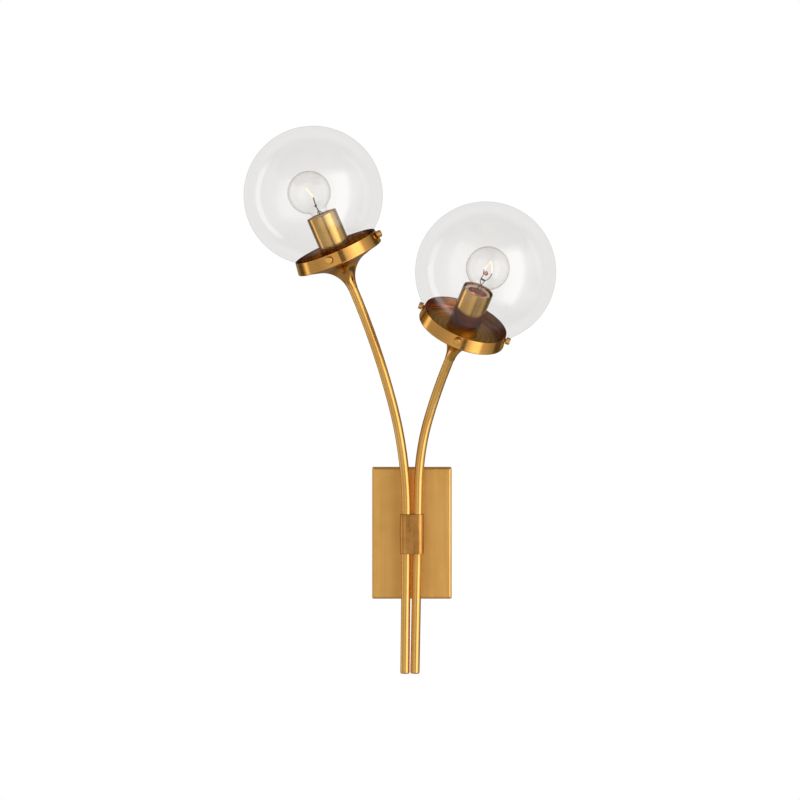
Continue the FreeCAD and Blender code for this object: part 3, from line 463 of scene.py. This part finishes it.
def noise(nodes, links, source, scale, detail=4.0, roughness=0.55):
    node = nodes.new("ShaderNodeTexNoise")
    node.inputs["Scale"].default_value = scale
    node.inputs["Detail"].default_value = detail
    node.inputs["Roughness"].default_value = roughness
    links.new(source, node.inputs["Vector"])
    return node.outputs["Fac"]


def ramp(nodes, links, source, stops):
    """A colour ramp with (position, colour) stops. A single number stands for a grey."""
    stops = [(at, value if isinstance(value, tuple) else (value,) * 3) for at, value in stops]
    node = nodes.new("ShaderNodeValToRGB")
    elements = node.color_ramp.elements
    for position, colour in stops[1:-1]:
        elements.new(position).color = (*colour, 1)
    for element, (position, colour) in ((elements[0], stops[0]), (elements[-1], stops[-1])):
        element.position = position
        element.color = (*colour, 1)
    links.new(source, node.inputs[0])
    return node.outputs["Color"]


def spread(nodes, links, source, low, high, to_low, to_high):
    """Map a value from one span onto another, held at both ends."""
    node = nodes.new("ShaderNodeMapRange")
    node.inputs["From Min"].default_value = low
    node.inputs["From Max"].default_value = high
    node.inputs["To Min"].default_value = to_low
    node.inputs["To Max"].default_value = to_high
    links.new(source, node.inputs["Value"])
    return node.outputs["Result"]


def link_or_set(links, given, socket):
    """Link an output to a socket, or set the socket to a number or a vector."""
    if isinstance(given, bpy.types.NodeSocket):
        links.new(given, socket)
    else:
        socket.default_value = given


def maths(nodes, links, operation, *given):
    node = nodes.new("ShaderNodeMath")
    node.operation = operation
    for value, socket in zip(given, node.inputs):
        link_or_set(links, value, socket)
    return node.outputs[0]


def vector_maths(nodes, links, operation, *given):
    node = nodes.new("ShaderNodeVectorMath")
    node.operation = operation
    for value, socket in zip(given, node.inputs):
        link_or_set(links, value, socket)
    return node.outputs


def flat_colour(nodes, colour):
    node = nodes.new("ShaderNodeRGB")
    node.outputs[0].default_value = (*colour, 1)
    return node.outputs[0]


def blend_colour(nodes, links, mode, share, first, second):
    node = nodes.new("ShaderNodeMix")
    node.data_type = "RGBA"
    node.blend_type = mode
    factor, a, b = node.inputs[0], node.inputs[6], node.inputs[7]
    link_or_set(links, share, factor)
    links.new(first, a)
    links.new(second, b)
    return node.outputs[2]


def blend_shader(nodes, links, share, first, second):
    mix = nodes.new("ShaderNodeMixShader")
    links.new(share, mix.inputs[0])
    links.new(first.outputs[0], mix.inputs[1])
    links.new(second.outputs[0], mix.inputs[2])
    return mix.outputs[0]


def glass(name, tint, mirror):
    """Clear thin glass. tint is the colour it passes and mirror the share it reflects, both as
    (position, value) stops from face on, 0, to its outline, 1. Slow waves in the face stir what
    it mirrors, as in blown glass."""
    material, nodes, links = node_material(name)
    weight = nodes.new("ShaderNodeLayerWeight")
    weight.inputs["Blend"].default_value = 0.5
    facing = weight.outputs["Facing"]
    clear = nodes.new("ShaderNodeBsdfTransparent")
    links.new(ramp(nodes, links, facing, tint), clear.inputs["Color"])
    gloss = nodes.new("ShaderNodeBsdfPrincipled")
    gloss.inputs["Metallic"].default_value = 1.0
    gloss.inputs["Base Color"].default_value = (1, 1, 1, 1)
    gloss.inputs["Roughness"].default_value = GLASS_GLOSS
    bump = nodes.new("ShaderNodeBump")
    bump.inputs["Strength"].default_value = WAVE_STRENGTH
    bump.inputs["Distance"].default_value = WAVE_HEIGHT
    links.new(noise(nodes, links, object_place(nodes), GLASS_WAVES, 1.0), bump.inputs["Height"])
    links.new(bump.outputs[0], gloss.inputs["Normal"])
    within = nodes.new("ShaderNodeNewGeometry").outputs["Backfacing"]
    share = maths(nodes, links, "MULTIPLY", ramp(nodes, links, facing, mirror),
                  spread(nodes, links, within, 0.0, 1.0, 1.0, MIRROR_FROM_WITHIN))
    links.new(blend_shader(nodes, links, share, clear, gloss),
              nodes["Material Output"].inputs["Surface"])
    return material


def round_head(nodes, links, place, head):
    """Coordinates that run outwards from a head's axis and along it, for marks left by spinning."""
    axis = head.to_3x3().col[2]
    offset = vector_maths(nodes, links, "SUBTRACT", place, head.translation)["Vector"]
    sideways = vector_maths(nodes, links, "CROSS_PRODUCT", offset, axis)["Vector"]
    both = nodes.new("ShaderNodeCombineXYZ")
    links.new(vector_maths(nodes, links, "LENGTH", sideways)["Value"], both.inputs["X"])
    links.new(vector_maths(nodes, links, "DOT_PRODUCT", offset, axis)["Value"], both.inputs["Y"])
    return both.outputs[0]


def painted_corner_shade(nodes, links, tone, reach):
    """Darken and warm the tone in corners, narrow gaps and beside nearby parts, as painted shade.
    """
    open_air = nodes.new("ShaderNodeAmbientOcclusion")
    open_air.samples = CORNER_SAMPLES
    open_air.inputs["Distance"].default_value = reach
    shade = ramp(nodes, links, open_air.outputs["AO"], CORNER_SHADE)
    return blend_colour(nodes, links, "MULTIPLY", 1.0, tone, shade)


def painted_cup_shade(nodes, links, tone, along, radius):
    """Darken and cool a spun cup inside a radius, in faint rings, as painted shade. Gives the tone
    and the share inside.
    """
    parts = nodes.new("ShaderNodeSeparateXYZ")
    links.new(along, parts.inputs[0])
    inside = spread(nodes, links, parts.outputs["X"], radius - CUP_FADE, radius, 1.0, 0.0)
    rings = nodes.new("ShaderNodeTexWave")
    rings.wave_profile = "SIN"
    rings.inputs["Scale"].default_value = RING_SCALE
    rings.inputs["Distortion"].default_value = RING_WARP
    links.new(along, rings.inputs["Vector"])
    shade = ramp(nodes, links, rings.outputs["Fac"], CUP_SHADE_RINGS)
    cup_shaded = blend_colour(nodes, links, "MULTIPLY", 1.0, tone, shade)
    return blend_colour(nodes, links, "MIX", inside, tone, cup_shaded), inside


def brass(name, brush, base=BRASS, light=BRASS_LIGHT, dark=BRASS_DARK, roughness=0.3, patina=0.12,
          marks=0.06, worn=1.0, cloud=22.0, edge=0.35, shade_reach=0.0, head=None, cup=None):
    """Antique brass: a satin ground with cloudy tone, brown patina in patches and brush marks.

    brush is the scale of the brush marks along X, Y and Z, or, on a piece spun round a head,
    outwards from its axis and along it. worn is how much the marks darken the metal, and marks
    how deep they are. cloud is the scale of the cloudy tone, edge the rounding of edges in
    millimetres, shade_reach how far, in millimetres, painted shade spreads from corners and nearby
    parts, and cup the radius of a hollow that gets painted shade, in rings, and a duller finish."""
    material, nodes, links = node_material(name)
    shader = nodes.new("ShaderNodeBsdfPrincipled")
    shader.inputs["Metallic"].default_value = 1.0
    shader.inputs["Specular Tint"].default_value = GRAZING
    place = object_place(nodes)
    along = round_head(nodes, links, place, head) if head else place
    stretch = nodes.new("ShaderNodeMapping")
    stretch.inputs["Scale"].default_value = brush
    links.new(along, stretch.inputs["Vector"])
    streaks = noise(nodes, links, stretch.outputs["Vector"], 1.0, 3.0, 0.6)

    clouds = noise(nodes, links, place, cloud, 3.0)
    tone = ramp(nodes, links, clouds, [(0.3, dark), (0.5, base), (0.75, light)])
    tone = blend_colour(nodes, links, "MIX", CLOUDINESS, flat_colour(nodes, base), tone)
    flecks = noise(nodes, links, place, FLECK_SCALE, 3.0, 0.6)
    spots = spread(nodes, links, flecks, *FLECK_SPAN, 0.0, patina)
    tone = blend_colour(nodes, links, "MIX", spots, tone, flat_colour(nodes, PATINA))
    rubbed = ramp(nodes, links, streaks, RUBBED)
    tone = blend_colour(nodes, links, "MULTIPLY", worn, tone, rubbed)
    rough = spread(nodes, links, streaks, 0.3, 0.7, roughness - 0.06, roughness + 0.08)
    # Painted shade, in rings, inside the cup, whose finish is also duller there
    if cup:
        tone, inside = painted_cup_shade(nodes, links, tone, along, cup)
        rough = maths(nodes, links, "MULTIPLY_ADD", inside, CUP_DULLNESS, rough)
    # Painted shade in corners and beside nearby parts, from ambient occlusion
    if shade_reach:
        tone = painted_corner_shade(nodes, links, tone, shade_reach * MM)
    links.new(tone, shader.inputs["Base Color"])
    links.new(rough, shader.inputs["Roughness"])

    bump = nodes.new("ShaderNodeBump")
    bump.inputs["Strength"].default_value = marks
    bump.inputs["Distance"].default_value = MARK_DEPTH
    links.new(streaks, bump.inputs["Height"])
    if edge:
        soft = nodes.new("ShaderNodeBevel")
        soft.inputs["Radius"].default_value = edge * MM
        links.new(soft.outputs[0], bump.inputs["Normal"])
    links.new(bump.outputs[0], shader.inputs["Normal"])
    links.new(shader.outputs[0], nodes["Material Output"].inputs["Surface"])
    return material


def plain(name, colour, metallic, roughness, unevenness=0.12):
    """A simple finish with a little uneven tone and roughness."""
    material, nodes, links = node_material(name)
    shader = nodes.new("ShaderNodeBsdfPrincipled")
    shader.inputs["Metallic"].default_value = metallic
    speckle = noise(nodes, links, object_place(nodes), GRAIN_SCALE)
    low = tuple(c * (1 - unevenness) for c in colour)
    high = tuple(min(1.0, c * (1 + unevenness)) for c in colour)
    links.new(ramp(nodes, links, speckle, [(0.35, low), (0.65, high)]), shader.inputs["Base Color"])
    links.new(spread(nodes, links, speckle, 0.3, 0.7, roughness * 0.85, roughness * 1.15),
              shader.inputs["Roughness"])
    links.new(shader.outputs[0], nodes["Material Output"].inputs["Surface"])
    return material


def glow(name, colour, strength):
    """A hot wire: bright, a little uneven along its length."""
    material, nodes, links = node_material(name)
    shader = nodes.new("ShaderNodeBsdfPrincipled")
    shader.inputs["Base Color"].default_value = (*colour, 1)
    shader.inputs["Metallic"].default_value = 1.0
    shader.inputs["Roughness"].default_value = 0.4
    shader.inputs["Emission Color"].default_value = (*colour, 1)
    heat = noise(nodes, links, object_place(nodes), HEAT_SCALE)
    links.new(spread(nodes, links, heat, 0.3, 0.7, strength * 0.8, strength * 1.2),
              shader.inputs["Emission Strength"])
    links.new(shader.outputs[0], nodes["Material Output"].inputs["Surface"])
    return material


def finish_nodes(material, *names):
    """Give CAD nodes their material in place of the one they came with."""
    for name in names:
        materials = NODES[name].data.materials
        materials.clear()
        materials.append(material)


def bounced(nodes, links):
    """1 for light that has bounced off something, 0 for what is seen straight or through glass."""
    path = nodes.new("ShaderNodeLightPath").outputs
    total = maths(nodes, links, "ADD", path["Glossy Depth"], path["Diffuse Depth"])
    return maths(nodes, links, "GREATER_THAN", total, 0.5)


def studio():
    """The world: white behind, and for reflections a soft studio with a window on each side."""
    world = bpy.data.worlds.new("studio")
    bpy.context.scene.world = world
    world.use_nodes = True
    nodes = world.node_tree.nodes
    links = world.node_tree.links
    nodes.clear()
    parts = nodes.new("ShaderNodeSeparateXYZ")
    links.new(nodes.new("ShaderNodeTexCoord").outputs["Generated"], parts.inputs[0])
    forward = maths(nodes, links, "MULTIPLY", parts.outputs["Y"], -1.0)
    azimuth = maths(nodes, links, "ARCTAN2", parts.outputs["X"], forward)
    around = spread(nodes, links, azimuth, -math.pi, math.pi, 0.0, 1.0)
    up = spread(nodes, links, parts.outputs["Z"], -1.0, 1.0, 0.0, 1.0)
    top = max(light for _, light in STUDIO_ROUND)
    wall = ramp(nodes, links, around,
                [((angle + 180) / 360, light / top) for angle, light in STUDIO_ROUND])
    ends = ramp(nodes, links, up, [((height + 1) / 2, share) for height, share in STUDIO_ENDS])
    soft = nodes.new("ShaderNodeBackground")
    links.new(blend_colour(nodes, links, "MIX", ends, wall, flat_colour(nodes, (QUIET / top,) * 3)),
              soft.inputs["Color"])
    soft.inputs["Strength"].default_value = top
    white = nodes.new("ShaderNodeBackground")
    white.inputs["Color"].default_value = (1, 1, 1, 1)
    white.inputs["Strength"].default_value = 1.0
    output = nodes.new("ShaderNodeOutputWorld")
    links.new(blend_shader(nodes, links, bounced(nodes, links), white, soft),
              output.inputs["Surface"])


def floor():
    """A pale floor well below the sconce, white where it is seen but for the object's shadow."""
    bpy.ops.mesh.primitive_plane_add(size=FLOOR_SIZE, location=(0, 0, FLOOR_HEIGHT))
    ground = bpy.context.object
    ground.name = "floor"
    material, nodes, links = node_material("floor")
    matt = nodes.new("ShaderNodeBsdfDiffuse")
    matt.inputs["Color"].default_value = FLOOR_TONE
    pale = nodes.new("ShaderNodeEmission")
    pale.inputs["Strength"].default_value = FLOOR_GLOW
    white = nodes.new("ShaderNodeAddShader")
    links.new(pale.outputs[0], white.inputs[0])
    links.new(matt.outputs[0], white.inputs[1])
    links.new(blend_shader(nodes, links, bounced(nodes, links), white, matt),
              nodes["Material Output"].inputs["Surface"])
    ground.data.materials.append(material)


def camera():
    """The photograph's view: level, and straight at the wall."""
    data = bpy.data.cameras.new("camera")
    data.lens = FOCAL_PIXELS / FRAME_PIXELS * SENSOR_MM
    data.sensor_width = SENSOR_MM
    data.clip_end = CAMERA_REACH
    eye = bpy.data.objects.new("camera", data)
    eye.location = CAMERA_PLACE
    eye.rotation_euler = (math.radians(90), 0, 0)
    bpy.context.scene.collection.objects.link(eye)
    bpy.context.scene.camera = eye


camera()
studio()
floor()
bpy.context.scene.view_settings.view_transform = "Standard"
bpy.context.scene.cycles.transparent_max_bounces = CLEAR_WALLS

steel = plain("zinc_steel", (0.60, 0.59, 0.56), 1.0, 0.38)
fitting = plain("turned_brass", (0.78, 0.52, 0.20), 1.0, 0.25)
copper = plain("copper_shell", (0.85, 0.36, 0.16), 1.0, 0.28)
porcelain = plain("porcelain", (0.86, 0.74, 0.58), 0.0, 0.18, unevenness=0.04)
bead = plain("lamp_bead", (0.03, 0.03, 0.035), 0.0, 0.2)
lead_wire = plain("lead_wire", (0.13, 0.035, 0.02), 0.3, 0.4)
hot_wire = glow("hot_wire", (1.0, 0.58, 0.40), 1.7)
globe_glass = glass("globe_wall", GLOBE_TINT, GLOBE_MIRROR)
inner_glass = glass("globe_inside", INNER_TINT, INNER_MIRROR)
lamp_glass = glass("lamp_wall", LAMP_TINT, LAMP_MIRROR)
stem_glass = glass("stem_wall", STEM_TINT, STEM_MIRROR)

# The plate gets painted shade beside the tubes and the band
finish_nodes(brass("plate_brass", (500, 14, 9), roughness=0.42, patina=0.04, marks=0.03,
                   worn=0.35, shade_reach=16.0), "backplate")
finish_nodes(brass("band_brass", (300, 300, 30), patina=0.3, cloud=110.0, worn=0.5, **BAND),
             "tube_band")
finish_nodes(brass("spacer_brass", (900, 900, 900)), "band_spacer")
finish_nodes(steel, "crossbar", "band_pipe", "lock_washer")
finish_nodes(fitting, "crossbar_set_screws", "pipe_nut")
finish_nodes(plain("green_screw", (0.06, 0.30, 0.10), 0.3, 0.35), "ground_screw")

for side in SIDES:
    head = head_frame(side)
    own = side + "_"
    globe(side, head, globe_glass, inner_glass)
    screw_shell(side, head, copper)
    lamp_wires(side, lamp_frame(side), hot_wire, lead_wire, copper)
    finish_nodes(brass(own + "arm_brass", (120, 120, 8), roughness=0.24, patina=0.0, marks=0.01,
                       worn=0.12, edge=0, **ARM), own + "arm_tube", own + "end_plug")
    finish_nodes(brass(own + "bell_brass", TURNED, roughness=0.14, head=head, **SPUN),
                 own + "bell")
    # The holder gets painted shade inside its cup and round its thumb screws
    finish_nodes(brass(own + "holder_brass", TURNED, roughness=0.12, cup=HOLDER_INSIDE,
                       shade_reach=2.5, head=head, **SPUN), own + "shade_holder")
    finish_nodes(brass(own + "cover_brass", TURNED, roughness=0.12, marks=0.03, head=head,
                       **COVER), own + "socket_cover")
    # The thumb screws get painted shade next to the holder's wall
    finish_nodes(brass(own + "screw_brass", (1500, 1500, 1500), roughness=0.25, shade_reach=3.0),
                 *[own + "thumb_screw_%d" % index for index in (1, 2, 3)])
    finish_nodes(fitting, own + "arm_coupling", own + "holder_nut", own + "lamp_cap")
    finish_nodes(steel, own + "socket_bracket", own + "lamp_tip")
    finish_nodes(porcelain, own + "socket_body")
    finish_nodes(copper, own + "socket_contact")
    finish_nodes(bead, own + "lamp_insulator")
    finish_nodes(lamp_glass, own + "lamp_glass")
    finish_nodes(stem_glass, own + "lamp_stem")
